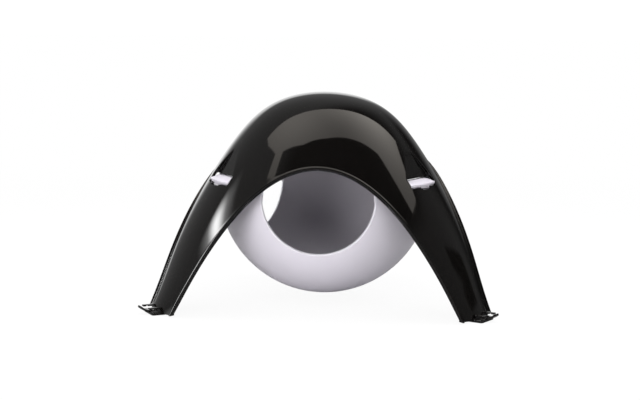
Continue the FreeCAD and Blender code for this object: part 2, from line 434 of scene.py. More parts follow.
def linked(name, data):
    """A new object of the data, in the scene."""
    made = bpy.data.objects.new(name, data)
    bpy.context.scene.collection.objects.link(made)
    return made


def new_piece(name, points, faces, look, body, slot, nodes):
    """A mesh object from points and faces, smooth but for its sharp edges."""
    if name in bpy.data.objects:
        raise RuntimeError(name + " is already in the scene")
    if not np.isfinite(points).all():
        raise RuntimeError(name + " has points without a place: its sizes don't fit together")
    mesh = bpy.data.meshes.new(name)
    mesh.from_pydata(points.tolist(), [], faces)
    if mesh.validate():
        raise RuntimeError(name + " has faulty faces")
    mesh.polygons.foreach_set("use_smooth", np.ones(len(mesh.polygons), bool))
    mesh.set_sharp_from_angle(angle=SHARP_ANGLE)
    mesh.update()
    mesh.materials.append(material_of(look))
    piece = linked(name, mesh)
    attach(piece, body)
    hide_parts(*nodes)


# Roof shell

BACK_COLUMNS = 9
NOTCH_COLUMNS = 3
HOLLOW_COLUMNS = 3
ROUND_COLUMNS = 4
SLOT_COLUMNS = BACK_COLUMNS + HOLLOW_COLUMNS - 1
BAND_COLUMNS = BACK_COLUMNS + HOLLOW_COLUMNS + ROUND_COLUMNS
ARCH_COLUMNS = 44
DOME_ROWS = 30
POCKET_ROWS = 26
SLOT_ROWS = 4
LEG_ROWS = 46
CROWN_START = 0.02
SLOT_STEP = 0.0003
EDGE_SAMPLES = 600
LIP_LEVEL = 0.012
LIP_FILLET = 0.0003
LIP_INNER_EDGE = 0.0004
LIP_SHOULDER = 0.55
LIP_FILLET_STEPS = 6
LIP_TOP_STEPS = 5
LIP_INNER_STEPS = 3
SIDE_INSET = 0.9
PLAIN_BACK = 0.92
SLIDE_FADE_START = 0.90
SLIDE_FADE = 0.07
LEAST_SLOPE = 0.2
HOLLOW_SHARE = 0.7
LEAST_ROUND = 0.0002
BACK_BLEND = 0.00025
HAIR = 0.000005
FULL_DEPTH = 0.0008


def arch_edge(skin, roof, count):
    """Outer edge of an arch from the foot to the top, in the leg's frame, at equal steps of length.

    The arch is a parabola across the way it faces. The sideways place over the side arc's radius is
    the sine of the angle on the side arc, which gives how far out the edge lies.
    """
    half = SECTOR / 2.0
    set_back, radius = skin.side_arc(0.0)
    slope = math.asin((roof.foot_width / 2.0 + set_back * math.sin(half)) / radius)
    reach = radius * math.cos(slope) - set_back * math.cos(half)
    half_span = reach * math.sin(half) - roof.foot_width / 2.0 * math.cos(half)
    widest = half_span * math.sqrt(1.0 - skin.lift / roof.arch_height)
    sideways = widest * (1.0 - np.linspace(0.0, 1.0, EDGE_SAMPLES))
    z = roof.arch_height * (1.0 - (sideways / half_span) ** 2)
    set_back, radius = skin.side_arc(z)
    out = np.sqrt(radius ** 2 - sideways ** 2) - set_back
    turn = half - np.arctan2(sideways, out)
    reach = np.hypot(out, sideways)
    edge = np.stack([reach * np.cos(turn), reach * np.sin(turn), z], -1)
    run = run_along(edge)
    wanted = np.linspace(0.0, run[-1], count)
    return np.stack([np.interp(wanted, run, edge[:, k]) for k in range(3)], -1)


def lip_frame(skin, edge):
    """Directions along the arch edge: across the skin towards the opening, and out of the skin.
    At the leg's bottom edge both are level, so that the lip ends flat there."""
    out = skin.normal(edge)
    across = unit(np.cross(unit(np.gradient(edge, axis=0)), out))
    across *= np.sign(across[:, 1:2])
    level_out = unit(out * np.array([1.0, 1.0, 0.0]))
    level_across = np.stack([-level_out[:, 1], level_out[:, 0], 0.0 * level_out[:, 0]], -1)
    level_across *= np.sign(level_across[:, 1:2])
    share = smooth((edge[:, 2:3] - skin.lift) / LIP_LEVEL)
    return unit(blend(level_across, across, share)), unit(blend(level_out, out, share))


def lip_outline(roof):
    """Lip across the arch edge, as places towards the opening and out of the skin: a hollow fillet,
    a round top, the arch's face and a round inner edge."""
    foot, top, width, wall = roof.lip_foot, roof.lip_height, roof.lip_width, roof.wall
    shoulder = (-width, LIP_SHOULDER * top)
    return np.concatenate([
        curve((-foot, 0.0), (-width - LIP_FILLET, 0.0), shoulder, LIP_FILLET_STEPS)[1:],
        curve(shoulder, (-width, top), (-LIP_SHOULDER * width, top), LIP_TOP_STEPS)[1:],
        curve(((LIP_SHOULDER - 1.0) * width, top), (0.0, top), (0.0, 0.5 * top), LIP_TOP_STEPS),
        curve((0.0, LIP_INNER_EDGE - wall), (0.0, -wall), (-LIP_INNER_EDGE, -wall), LIP_INNER_STEPS),
    ])


class Pocket:
    """The pocket that a slot opens into: a flat back that leans out to the ridge, and two walls that
    draw together upwards. With an inset it is the same pocket as seen from inside the roof."""

    def __init__(self, skin, roof, bowl, inset=0.0):
        self.skin = skin
        self.inset = inset
        self.low = skin.rim + bowl.slot_top
        self.high = self.low + roof.pocket_length
        self.near = skin.rim_radius + roof.gap
        self.lean = (float(skin.ridge(self.high)) - self.near) / (self.high - self.low)
        self.half = bowl.tab_width / 2.0 + bowl.slot_side
        self.half_tip = roof.pocket_tip / 2.0
        self.radius = roof.pocket_round
        self.notch = (bowl.barb_width / 2.0 + bowl.slot_side) / self.half

    def back(self, z):
        return self.near + (z - self.low) * self.lean - self.inset * math.hypot(1.0, self.lean)

    def half_width(self, z):
        share = np.clip((z - self.low) / (self.high - self.low), 0.0, 1.0)
        return blend(self.half, self.half_tip, share) + self.inset * SIDE_INSET

    def columns(self):
        """Shares of the half width for the columns on the back. One is the side of the barb's notch."""
        known = (0, NOTCH_COLUMNS, BACK_COLUMNS - 1)
        return np.interp(np.arange(BACK_COLUMNS), known, (0.0, self.notch / PLAIN_BACK, 1.0))

    def plain_columns(self):
        """Shares of the half width for all the band's columns where the skin has no pocket."""
        return np.concatenate([
            self.columns() * PLAIN_BACK,
            np.linspace(PLAIN_BACK, 1.0, HOLLOW_COLUMNS + 1)[1:],
            1.0 + np.linspace(0.0, 1.0, ROUND_COLUMNS + 1)[1:] * self.radius / self.half,
        ])


def moved_in(skin, points, wall):
    """Points of the outer skin carried to the surface a wall inside it.

    Up to the pockets' tips a point keeps its height: after the step along the normal it slides back
    along the surface. Towards the crown, where the surface is nearly level, it no longer slides.
    """
    normal = skin.normal(points)
    stepped = points - wall * normal
    share = 1.0 - smooth((points[..., 2] / skin.height - SLIDE_FADE_START) / SLIDE_FADE)
    slide = wall * normal[..., 2:] * share[..., None]
    level = normal[..., :2]
    flat = np.maximum(np.linalg.norm(level, axis=-1, keepdims=True), LEAST_SLOPE)
    stepped[..., :2] -= slide * normal[..., 2:] / flat * level / flat
    stepped[..., 2:] += slide
    return stepped


def pocket_columns(pocket, z, wall):
    """Half a row of points across a pocket at the heights z, from the leg's middle to past the edge.

    The back is flat, then a hollow curve turns up the wall and a round one turns over onto the skin.
    Above the tip the back lies on the skin, so the row is the plain skin, and it narrows towards the
    crown. The wall is how far the surface lies inside the outer skin.
    """
    skin, radius = pocket.skin, pocket.radius
    z = z[:, None]
    half = pocket.half_width(z)

    def on_skin(t):
        return moved_in(skin, skin.at_side(t, z + 0.0 * t), wall)

    edge_x = on_skin(half)[..., 0]
    depth = np.maximum(edge_x - pocket.back(z), 0.0)
    low_round = np.minimum(radius * HOLLOW_SHARE, LARGEST_ROUND * depth)
    high_round = np.minimum(radius, 0.5 * depth + LEAST_ROUND)

    back_t = pocket.columns()[None, :] * (half - low_round)
    back_x = soft_min(pocket.back(z) + 0.0 * back_t, on_skin(back_t)[..., 0], BACK_BLEND)
    foot_x = back_x[:, -1:]
    s = np.linspace(0.0, 1.0, HOLLOW_COLUMNS + 1)[None, 1:]
    hollow_t = bezier(half - low_round, half, half, s)
    hollow_x = bezier(foot_x, foot_x, foot_x + low_round, s)
    s = np.linspace(0.0, 1.0, ROUND_COLUMNS)[None, :]
    over_t = half + high_round
    wall_top = np.maximum(edge_x - high_round, foot_x + low_round + HAIR)
    round_t = bezier(half, half, over_t, s)
    round_x = bezier(wall_top, edge_x, on_skin(over_t)[..., 0], s)

    shaped_t = np.concatenate([back_t, hollow_t, round_t], 1)
    shaped_x = np.concatenate([back_x, hollow_x, round_x], 1)
    shaped = np.stack([shaped_x, shaped_t, z + 0.0 * shaped_t], -1)
    narrowing = np.minimum(1.0, skin.corner(z) / skin.corner(pocket.high))
    plain = on_skin(pocket.plain_columns()[None, :] * half * narrowing)
    return blend(plain, shaped, smooth(depth / FULL_DEPTH)[..., None])


def roof_rows(skin, pocket, bowl):
    """Row places as roots of the fall, with rows on the pocket's tip and foot, both slot edges and
    the bottom of the barb's notch, and which rows come first and last in the slot."""
    slot_low = skin.rim - bowl.tab_thickness - bowl.slot_rest
    marks = (pocket.high, pocket.low, pocket.low - SLOT_STEP, slot_low, slot_low - bowl.barb_drop)
    tip, foot, slot_high, slot_low, notch = (math.sqrt(skin.fall(z)) for z in marks)
    dome = np.linspace(CROWN_START, tip, DOME_ROWS)
    down = np.linspace(tip, foot, POCKET_ROWS + 1)[1:]
    slot = np.linspace(slot_high, slot_low, SLOT_ROWS)
    leg = np.linspace(notch, math.sqrt(skin.fall(skin.lift)), LEG_ROWS)
    first = len(dome) + len(down)
    return np.concatenate([dome, down, slot, leg]), first, first + SLOT_ROWS - 1


def half_sector(skin, roof, bowl, wall):
    """Half a leg's sector of the skin, from the crown down to the bottom edge and the arch's lip.

    Rows are heights below the crown. Columns run from the leg's middle to the middle of the arch.
    Those of the pocket end on the leg's bottom edge, and the rest end where the lip begins.
    """
    pocket = Pocket(skin, roof, bowl)
    rows, slot_first, slot_last = roof_rows(skin, pocket, bowl)
    z = skin.height * (1.0 - rows ** 2)
    depth = (rows - rows[slot_last]) / (rows[-1] - rows[slot_last])
    down_leg = smooth(depth)[:, None]

    edge = arch_edge(skin, roof, ARCH_COLUMNS + 1)
    across, out = lip_frame(skin, edge)
    start = edge - across * roof.lip_foot
    start_turn = np.arctan2(start[:, 1], start[:, 0])
    start_turn[-1] = SECTOR / 2.0
    start_root = np.sqrt(skin.fall(np.maximum(start[:, 2], skin.lift)))
    start_root[0] = rows[-1]

    upper = pocket_columns(Pocket(skin, roof, bowl, wall), z, wall)
    share = pocket.plain_columns()[None, :]
    slot_t = share * pocket.half + 0.0 * z[:, None]
    foot_t = share / share[0, -1] * start[0, 1]
    leg_t = blend(slot_t, foot_t, down_leg)
    lower = moved_in(skin, skin.at_side(leg_t, z[:, None] + 0.0 * leg_t), wall)
    is_upper = np.arange(len(rows)) < slot_first
    band = np.where(is_upper[:, None, None], upper, lower)

    edge_turn = np.arctan2(band[:, -1:, 1], band[:, -1:, 0])
    spread_out = (start_turn - start_turn[0]) / (start_turn[-1] - start_turn[0])
    turn = blend(blend(edge_turn, SECTOR / 2.0, spread_out), start_turn, down_leg)
    height = skin.height * (1.0 - (rows[:, None] / rows[-1] * start_root) ** 2)
    height = np.minimum(height, z[0])
    side = moved_in(skin, skin.at_turn(turn, height), wall)[:, 1:]

    outline = lip_outline(roof)[:, None]
    lip = edge + outline[..., :1] * across + outline[..., 1:] * out
    lip[..., 2] = np.maximum(lip[..., 2], skin.lift)
    return np.concatenate([band, side], 1), lip, slot_first, slot_last


def slot_path(middle, top, foot):
    """Rows and columns of the grid round a slot, with the barb's notch in its lower edge."""
    side, notch = SLOT_COLUMNS, NOTCH_COLUMNS
    path = [(top, c) for c in range(-side, side + 1)]
    path += [(r, side) for r in range(top + 1, foot + 1)]
    path += [(foot, c) for c in range(side - 1, notch - 1, -1)]
    path += [(foot + 1, c) for c in range(notch, -notch - 1, -1)]
    path += [(foot, c) for c in range(-notch, -side - 1, -1)]
    path += [(r, -side) for r in range(foot - 1, top, -1)]
    rows, columns = np.array(path).T
    return rows, middle + columns


def roof_shell(roof, bowl):
    """The whole shell as one closed surface: the outer skin, the lips, and the inner skin.

    The outer and inner skins are grids with the same rows and columns, from the crown down. The lips
    join their last rows. Faces inside the slots and the barbs' notches are left out of both, and
    short walls join the rims of those holes.
    """
    skin = Skin(roof, bowl)
    outer, lip, slot_first, slot_last = half_sector(skin, roof, bowl, 0.0)
    inner = half_sector(skin, roof, bowl, roof.wall)[0]
    under = np.linspace(0.0, 1.0, len(lip) + 2)[1:-1][:, None, None]
    closing = blend(outer[-1, :BAND_COLUMNS - 1], inner[-1, :BAND_COLUMNS - 1], under)
    rim = np.concatenate([closing, lip], 1)
    half = np.concatenate([outer, rim, inner[::-1]], 0)
    ring = full_ring(half, 0.0)

    rows, columns = ring.shape[:2]
    quads = ring_quads(rows, columns)
    keep = np.ones(quads.shape[:2], bool)
    index = np.arange(rows * columns).reshape(rows, columns)
    top, foot, last = slot_first - 1, slot_last, rows - 1
    walls = []
    for leg in range(LEGS):
        middle = leg * columns // LEGS + half.shape[1] - 2
        for row in range(top, foot + 1):
            side = SLOT_COLUMNS if row < foot else NOTCH_COLUMNS
            keep[[row, last - row - 1], middle - side:middle + side] = False
        row, column = slot_path(middle, top, foot)
        outside, inside = index[row, column], index[last - row, column]
        walls.append(np.stack([outside, inside, np.roll(inside, -1), np.roll(outside, -1)], 1))
    faces = quads[keep].tolist() + np.concatenate(walls).tolist()
    return capped(ring, faces, ring[..., 2].max(), ring[-1, :, 2].max())


# Feet

SOLE_SIDE = 0.0004
SOLE_CORNER_BACK = 0.006
SOLE_STEPS = 31
SOLE_RISE = 0.0001
SOLE_EDGE = 0.0002
TOE_STEPS = 7
TONGUE_STEPS = 12
TONGUE_LEAN = 0.6
TONGUE_HOLLOW = 0.0004
TONGUE_DIP = 0.0002
NOSE_STEPS = 5
FINGER_NOSE = 0.0007
SEAT_STEPS = 9


def plate(outline, low, high, radius):
    """Flat plate with a rounded outline and rounded upper and lower edges, in the leg's frame."""
    middle = (low + high) / 2.0
    stations = bar_stations((high - low) / 2.0, radius)
    return swept(outline, stations, lambda x, t, level: (x, t, middle + level))


def upright_bar(outline, half_width, radius, middle=0.0):
    """Outline in X and Z, carried sideways from end to end, with rounded ends."""
    stations = bar_stations(half_width, radius)
    return swept(outline, stations, lambda x, z, place: (x, middle + place, z))


def toe_outline(skin, foot):
    """Toe seen from above: a plate with two round corners in front."""
    half, cut = foot.toe_width / 2.0, foot.toe_corner
    front = skin.front + foot.toe_reach
    back = skin.front - foot.sole_depth
    left = curve((front, half - cut), (front, half), (front - cut, half), TOE_STEPS)
    right = curve((front - cut, -half), (front, -half), (front, -half + cut), TOE_STEPS)
    return np.concatenate([left, [(back, half), (back, -half)], right])


def sole_outline(skin, roof, foot):
    """Sole seen from above: the skin's own curve in front, and straight across behind."""
    half = float(arch_edge(skin, roof, 2)[0, 1]) - SOLE_SIDE
    turn = np.linspace(-1.0, 1.0, SOLE_STEPS) * math.atan2(half, skin.front - SOLE_CORNER_BACK)
    front = skin.at_turn(turn, np.array(skin.lift + foot.sole_thickness))
    front = front - 0.5 * roof.wall * skin.normal(front)
    back = skin.front - foot.sole_depth
    return np.concatenate([front[:, :2], [(back, half), (back, -half)]])


def tongue_outline(skin, roof, foot):
    """Spring tongue from the side: low at its root, and curving up to its tip."""
    root = skin.front - roof.wall
    bend = skin.front + foot.tongue_bend
    tip = skin.front + foot.tongue_reach
    top, thickness, toe = foot.tongue_tip, foot.tongue_thickness, foot.toe_thickness
    under_root = (root, toe - thickness)
    under_bend = (bend, toe - thickness + TONGUE_HOLLOW)
    under_tip = (tip, top - thickness)
    over_tip = (tip - TONGUE_LEAN * thickness, top)
    over_bend = (bend - TONGUE_HOLLOW, toe + TONGUE_DIP)
    under = curve(under_root, under_bend, under_tip, TONGUE_STEPS)
    end = curve(under_tip, (tip, top), over_tip, NOSE_STEPS)[1:-1]
    over = curve(over_tip, over_bend, (root, toe), TONGUE_STEPS)
    return np.concatenate([under, end, over])


def finger_outline(skin, roof, foot):
    """Finger from the side, with the wire's round seat in its underside."""
    low, high = foot.finger_height, foot.finger_height + foot.finger_thickness
    back = float(skin.ridge(high)) - roof.wall
    front = skin.front + foot.finger_reach
    wire_x = skin.front + foot.wire_stand_off
    wire_z = low + foot.wire_seat - foot.wire_radius
    spread = math.acos((low - wire_z) / foot.wire_radius)
    angle = np.linspace(-spread, spread, SEAT_STEPS)
    seat_x = wire_x + foot.wire_radius * np.sin(angle)
    seat_z = wire_z + foot.wire_radius * np.cos(angle)
    middle = (front, (low + high) / 2.0)
    nose = curve((front - FINGER_NOSE, low), (front, low), middle, NOSE_STEPS)
    brow = curve(middle, (front, high), (front - FINGER_NOSE, high), NOSE_STEPS)[1:]
    seat = np.column_stack([seat_x, seat_z])
    return np.concatenate([[(back, low)], seat, nose, brow, [(back, high)]])


def foot_clips(roof, bowl, foot):
    """Sole, toe, tongue and two fingers on every leg."""
    skin = Skin(roof, bowl)
    low, high = skin.lift + SOLE_RISE, skin.lift + foot.sole_thickness
    edge = foot.edge_round
    tongue = tongue_outline(skin, roof, foot)
    finger = finger_outline(skin, roof, foot)
    parts = [
        plate(sole_outline(skin, roof, foot), low, high, SOLE_EDGE),
        plate(toe_outline(skin, foot), 0.0, foot.toe_thickness, edge),
        upright_bar(tongue, foot.tongue_width / 2.0, edge),
    ]
    for side in (-1.0, 1.0):
        middle = side * foot.finger_spacing / 2.0
        parts.append(upright_bar(finger, foot.finger_width / 2.0, edge, middle))
    return on_every_leg(parts)


# Bowl

BOWL_ROWS = 70
DOORWAY_COLUMNS = 46
RIM_COLUMNS = 26
BOWL_START = 0.02
LEAN_START = 0.028
LEAST_RISE = 1e-6
TAB_STATIONS = 22
TAB_ROUND = 0.0005
BARB_ROUND = 0.0003
BARB_ROOT = 0.0009


def bowl_edge(bowl, radius):
    """Half the bowl's open edge in an arch's frame, from the doorway's lowest point round it to the
    top, and along the rim to the middle of the leg.

    On the doorway the sideways place and the height run round a circle that shrinks with the radius,
    so the cut is square to the wall. The rest of the radius is how far out the edge lies.
    """
    centre = bowl.floor_gap + bowl.radius
    doorway = bowl.doorway * radius / bowl.radius
    top = math.asin(bowl.rim_above / doorway)
    angle = np.linspace(-math.pi / 2.0, top, DOORWAY_COLUMNS)
    sideways = doorway * np.cos(angle)
    height = doorway * np.sin(angle)
    out = np.sqrt(radius ** 2 - sideways ** 2 - height ** 2)
    side = np.stack([out, sideways, centre + height], -1)
    level = math.sqrt(radius ** 2 - bowl.rim_above ** 2)
    turn = np.linspace(math.atan2(side[-1, 1], side[-1, 0]), SECTOR / 2.0, RIM_COLUMNS + 1)[1:]
    rim = np.stack([level * np.cos(turn), level * np.sin(turn), 0.0 * turn + side[-1, 2]], -1)
    return np.concatenate([side, rim])


def bowl_half(bowl, radius):
    """Half a sector of a sphere from near its lowest point up to the open edge, and that edge.

    Columns rise as meridians at equal steps of the edge's length, then lean over to meet it.
    """
    centre = bowl.floor_gap + bowl.radius
    edge = bowl_edge(bowl, radius)
    turn = np.arctan2(edge[:, 1], edge[:, 0])
    tilt = np.arcsin(np.clip((edge[:, 2] - centre) / radius, -1.0, 1.0))
    run = run_along(edge)
    base = run / run[-1] * SECTOR / 2.0
    step_turn = np.gradient(turn) * np.cos(tilt)
    step_tilt = np.gradient(tilt)
    inward = bowl.edge_round / radius / np.hypot(step_turn, step_tilt)
    end_turn = turn + inward * step_tilt / np.cos(tilt)
    end_tilt = tilt - inward * step_turn
    end_turn[0], end_turn[-1] = turn[0], turn[-1]
    low = math.asin(max(-1.0, (LEAN_START - centre) / radius))
    share = np.linspace(0.0, 1.0, BOWL_ROWS)[:, None]
    tilts = blend(BOWL_START - math.pi / 2.0, end_tilt, share)
    lean = smooth((tilts - low) / np.maximum(end_tilt - low, LEAST_RISE))
    turns = blend(base, end_turn, lean)
    x = radius * np.cos(tilts) * np.cos(turns)
    y = radius * np.cos(tilts) * np.sin(turns)
    z = centre + radius * np.sin(tilts)
    return np.stack([x, y, z], -1), edge


def bowl_shell(bowl):
    """The bowl as one closed surface: outside, rounded doorway and rim edges, and inside."""
    outside, outer_edge = bowl_half(bowl, bowl.radius)
    inside, inner_edge = bowl_half(bowl, bowl.radius - bowl.wall)
    across = unit(inner_edge - outer_edge) * bowl.edge_round
    angle = np.linspace(0.0, math.pi / 2.0, ROUND_STEPS)[:, None, None]
    rise, fall = 1.0 - np.cos(angle), 1.0 - np.sin(angle)
    outer_round = outer_edge + (outside[-1] - outer_edge) * fall + across * rise
    inner_round = inner_edge + (inside[-1] - inner_edge) * rise - across * fall
    half = np.concatenate([outside, outer_round[1:], inner_round[:-1], inside[::-1]], 0)
    ring = full_ring(half, 0.5)
    faces = ring_quads(*ring.shape[:2]).reshape(-1, 4).tolist()
    return capped(ring, faces, bowl.floor_gap, bowl.floor_gap + bowl.wall)


def swept_tab(centre, outline, half_width, radius):
    """Outline in X and Z, carried sideways along arcs about a leg corner's centre.

    At a sideways place a point of the outline lies at the centre plus the root of its own radius
    squared less the place squared.
    """
    places, insets = bar_stations(half_width, radius)
    ends = places[ROUND_STEPS - 1:ROUND_STEPS + 1]
    middle = np.linspace(*ends, TAB_STATIONS)[1:-1]
    places = np.insert(places, ROUND_STEPS, middle)
    insets = np.insert(insets, ROUND_STEPS, 0.0 * middle)

    def to_space(x, z, place):
        return centre + np.sqrt((x - centre) ** 2 - place ** 2), place, z

    return swept(outline, (places, insets), to_space)


def snap_tabs(roof, bowl):
    """Tab and barb on every leg: a sloping top, a nose along the skin's edge, an undercut face."""
    skin = Skin(roof, bowl)
    under = skin.rim - bowl.tab_thickness
    slot_low = under - bowl.slot_rest
    centre = float(skin.spread(slot_low))
    nose = float(skin.ridge(slot_low)) - bowl.tab_set_back
    face = nose - bowl.tab_undercut
    root = skin.rim_radius + bowl.tab_root
    inner = skin.rim_radius - 0.5 * bowl.wall
    top = [(inner, skin.rim), (root, skin.rim), (nose, skin.rim - bowl.tab_drop)]
    bar = rounded(top + [(face, under), (inner, under)], TAB_ROUND)
    back, high, low = face - bowl.barb_depth, under + BARB_ROOT, under - bowl.barb_drop
    barb = rounded([(back, high), (face, high), (face, low), (back, low)], BARB_ROUND)
    return on_every_leg([
        swept_tab(centre, bar, bowl.tab_width / 2.0, TAB_ROUND),
        swept_tab(centre, barb, bowl.barb_width / 2.0, BARB_ROUND),
    ])


# Materials

EDGE_FADE = 0.0009
EDGE_FULL = 0.0004
ROOF_DARK = 0.8
ROOF_LIGHT = 1.25
MARKS_IN_GLOSS = 0.04
SPECKS_IN_GLOSS = 0.01
SPECKS_IN_SKIN = 0.004
BOWL_DARK = 0.97
BOWL_LIGHT = 1.03
CLOUD_IN_GLOSS = 0.06
GRAIN_IN_GLOSS = 0.04


class Term:
    """A shader socket that takes part in Python arithmetic by adding Math nodes."""

    def __init__(self, nodes, socket):
        self.nodes = nodes
        self.socket = socket

    def output(self, name):
        """Another output of the same node."""
        return Term(self.nodes, self.socket.node.outputs[name])

    def math(self, operation, *values):
        return self.nodes.add("ShaderNodeMath", {"operation": operation}, dict(enumerate(values)))

    def __add__(self, other):
        return self.math("ADD", self, other)

    def __radd__(self, other):
        return self.math("ADD", other, self)

    def __sub__(self, other):
        return self.math("SUBTRACT", self, other)

    def __rsub__(self, other):
        return self.math("SUBTRACT", other, self)

    def __mul__(self, other):
        return self.math("MULTIPLY", self, other)

    def __rmul__(self, other):
        return self.math("MULTIPLY", other, self)

    def __truediv__(self, other):
        return self.math("DIVIDE", self, other)


class Nodes:
    """A node tree that is filled one node at a time."""

    def __init__(self, owner):
        owner.use_nodes = True
        self.tree = owner.node_tree
        self.tree.nodes.clear()

    def feed(self, socket, value):
        if isinstance(value, Term):
            self.tree.links.new(value.socket, socket)
        else:
            socket.default_value = value

    def add(self, kind, settings=None, inputs=None, output=0):
        """A node of a type, with its settings first and then its sockets' values or links."""
        node = self.tree.nodes.new(kind)
        for name, value in (settings or {}).items():
            setattr(node, name, value)
        for name, value in (inputs or {}).items():
            self.feed(node.inputs[name], value)
        return Term(self, node.outputs[output]) if len(node.outputs) else node

    def places(self):
        """Where a point lies on its object, in metres."""
        return self.add("ShaderNodeTexCoord", output="Object")

    def noise(self, scale, detail=2.0, roughness=0.5):
        inputs = {"Vector": self.places(), "Scale": scale, "Detail": detail, "Roughness": roughness}
        return self.add("ShaderNodeTexNoise", {"noise_dimensions": "3D"}, inputs)

    def step(self, value, ends):
        """0 where the value is past the first end, 1 past the second, and smooth between."""
        inputs = {"Value": value, "From Min": ends[0], "From Max": ends[1]}
        return self.add("ShaderNodeMapRange", {"interpolation_type": "SMOOTHSTEP"}, inputs)

    def vector_math(self, operation, *vectors, output="Vector"):
        inputs = dict(enumerate(vectors))
        return self.add("ShaderNodeVectorMath", {"operation": operation}, inputs, output)

    def dot(self, vector, direction):
        return self.vector_math("DOT_PRODUCT", vector, direction, output="Value")

    def distance(self, place):
        """Distance from a place, in the object's own coordinates."""
        return self.vector_math("DISTANCE", self.places(), place, output="Value")

    def split(self, vector):
        """The three parts of a vector."""
        parts = self.add("ShaderNodeSeparateXYZ", None, {0: vector})
        return [parts.output(axis) for axis in "XYZ"]

    def tinted(self, value, colour):
        """A colour as bright as the value."""
        return self.add("ShaderNodeCombineColor", None, {i: value * colour[i] for i in range(3)})

    def mix_colours(self, share, first, second):
        """A colour between two. A Mix node has its colours' sockets at 6 and 7, and their mix at 2."""
        return self.add("ShaderNodeMix", {"data_type": "RGBA"}, {0: share, 6: first, 7: second}, 2)

    def bump(self, height, strength, distance):
        inputs = {"Strength": strength, "Distance": distance, "Height": height}
        return self.add("ShaderNodeBump", None, inputs)

    def plastic(self, colour, roughness, normal, ior):
        """The tree's surface as a moulded plastic."""
        inputs = {"Base Color": colour, "Roughness": roughness, "Normal": normal, "IOR": ior}
        shader = self.add("ShaderNodeBsdfPrincipled", None, inputs)
        self.add("ShaderNodeOutputMaterial", None, {"Surface": shader})


def opaque(colour, scale=1.0):
    return tuple(min(1.0, c * scale) for c in colour) + (1.0,)


def material_of(look):
    """The material of a look, filled in the first time that something asks for it. A look is a
    function of a node tree and the settings of the looks."""
    name = look.__name__
    material = bpy.data.materials.get(name)
    if material is None:
        material = bpy.data.materials.new(name)
        look(Nodes(material), bpy.context.scene.hideout_looks)
    return material


def gloss_black(nodes, looks):
    """Polished black moulding: faint grease marks in the gloss and a slow ripple in the skin."""
    marks = nodes.noise(scale=38.0, detail=4.0, roughness=0.6)
    specks = nodes.noise(scale=900.0)
    ripple = nodes.noise(scale=16.0, detail=1.0)
    dark, light = opaque(looks.roof_colour, ROOF_DARK), opaque(looks.roof_colour, ROOF_LIGHT)
    roughness = looks.roof_roughness + MARKS_IN_GLOSS * marks + SPECKS_IN_GLOSS * specks
    bump = nodes.bump(ripple + SPECKS_IN_SKIN * specks, strength=0.10, distance=0.002)
    nodes.plastic(nodes.mix_colours(marks, dark, light), roughness, bump, ior=1.5)


def satin_grey(nodes, looks):
    """Satin pale moulding: fine grain, and slow changes of tone and gloss. The thin edge round each
    doorway is painted paler, a painted highlight for the light that passes through the thin edge. It
    lies at one angle from the doorway's axis."""
    grain = nodes.noise(scale=2600.0)
    cloud = nodes.noise(scale=22.0, detail=3.0)
    dark, light = opaque(looks.bowl_colour, BOWL_DARK), opaque(looks.bowl_colour, BOWL_LIGHT)
    shade = nodes.mix_colours(cloud, dark, light)
    # Painted highlight: the doorway's edge takes the paler edge colour.
    colour = nodes.mix_colours(doorway_edge_highlight(nodes), shade, opaque(looks.edge_highlight_colour))
    roughness = looks.bowl_roughness + CLOUD_IN_GLOSS * cloud + GRAIN_IN_GLOSS * grain
    nodes.plastic(colour, roughness, nodes.bump(grain, strength=0.05, distance=0.0002), ior=1.46)


def doorway_edge_highlight(nodes):
    """1 on the edge of a doorway, where the painted highlight goes, and 0 on the rest of the bowl."""
    bowl = bpy.context.scene.hideout_bowl
    centre = (0.0, 0.0, bowl.floor_gap + bowl.radius)
    from_centre = nodes.vector_math("SUBTRACT", nodes.places(), centre)
    way = nodes.vector_math("NORMALIZE", from_centre)
    nearest = None
    for leg in range(LEGS):
        angle = FIRST_LEG + (leg + 0.5) * SECTOR
        near = nodes.dot(way, (math.cos(angle), math.sin(angle), 0.0))
        nearest = near if nearest is None else near.math("MAXIMUM", near, nearest)
    half_angle = math.asin(bowl.doorway / bowl.radius)
    fades = [math.cos(half_angle + width / bowl.radius) for width in (EDGE_FADE, EDGE_FULL)]
    return nodes.step(nearest, fades)


# Stage

# A pair of numbers below says where a fade begins and where it is full.

WHITE = (1.0, 1.0, 1.0, 1.0)
FLOOR_LEVEL = -0.0002
FLOOR_REACH = 6.0
FLOOR_WHITE = 0.94
FLOOR_WHITE_FADE = (0.3, 1.0)
FLOOR_UNDER_GLOSS = 0.25
FLOOR_GLOSS_DARK = 0.05
FLOOR_GLOSS_PATCH = 0.90
FLOOR_PATCH_LEFT = (-0.75, -0.60)
FLOOR_PATCH_NEAR = (0.15, 0.40)
PATCH_LEFT = (-0.58, -0.30)
PATCH_RIGHT = (0.15, -0.02)
PATCH_DEPTH = (0.3, 0.6)
PATCH_TOP = (0.36, 0.24)
PATCH_WHITE = 1.05
WORLD_FILL = 0.14
ROOM_DARK = 0.01
LEFT_WALL_ACROSS = 0.8
LEFT_WALL_DEPTH = 0.55
LEFT_WALL = (0.05, 0.42)
LEFT_WALL_GREY = 0.23
RIGHT_WALL_SIDE = (0.45, 0.80)
RIGHT_WALL_TOP = (0.62, 0.50)
RIGHT_WALL_GREY = 0.12
BACK_WALL_HEIGHT = (0.33, 0.50)
BACK_WALL_DEPTH = (0.45, 0.80)
BACK_WALL_GREY = 0.14
GAP_LINE = (0.415, -0.255, -0.873)
GAP_WIDTH = (0.040, 0.018)
GAP_SIDE = (0.72, 0.78)
GAP_DEPTH = (0.20, 0.28)
STRIP_LINE = (0.453, -0.214, 0.866)
STRIP_CORE_WIDTH = (0.07, 0.0)
STRIP_CORE_WHITE = 14.0
STRIP_GLOW_WIDTH = (0.14, 0.0)
STRIP_GLOW_WHITE = 4.0
STRIP_END = (0.0, -1.0, 0.0)
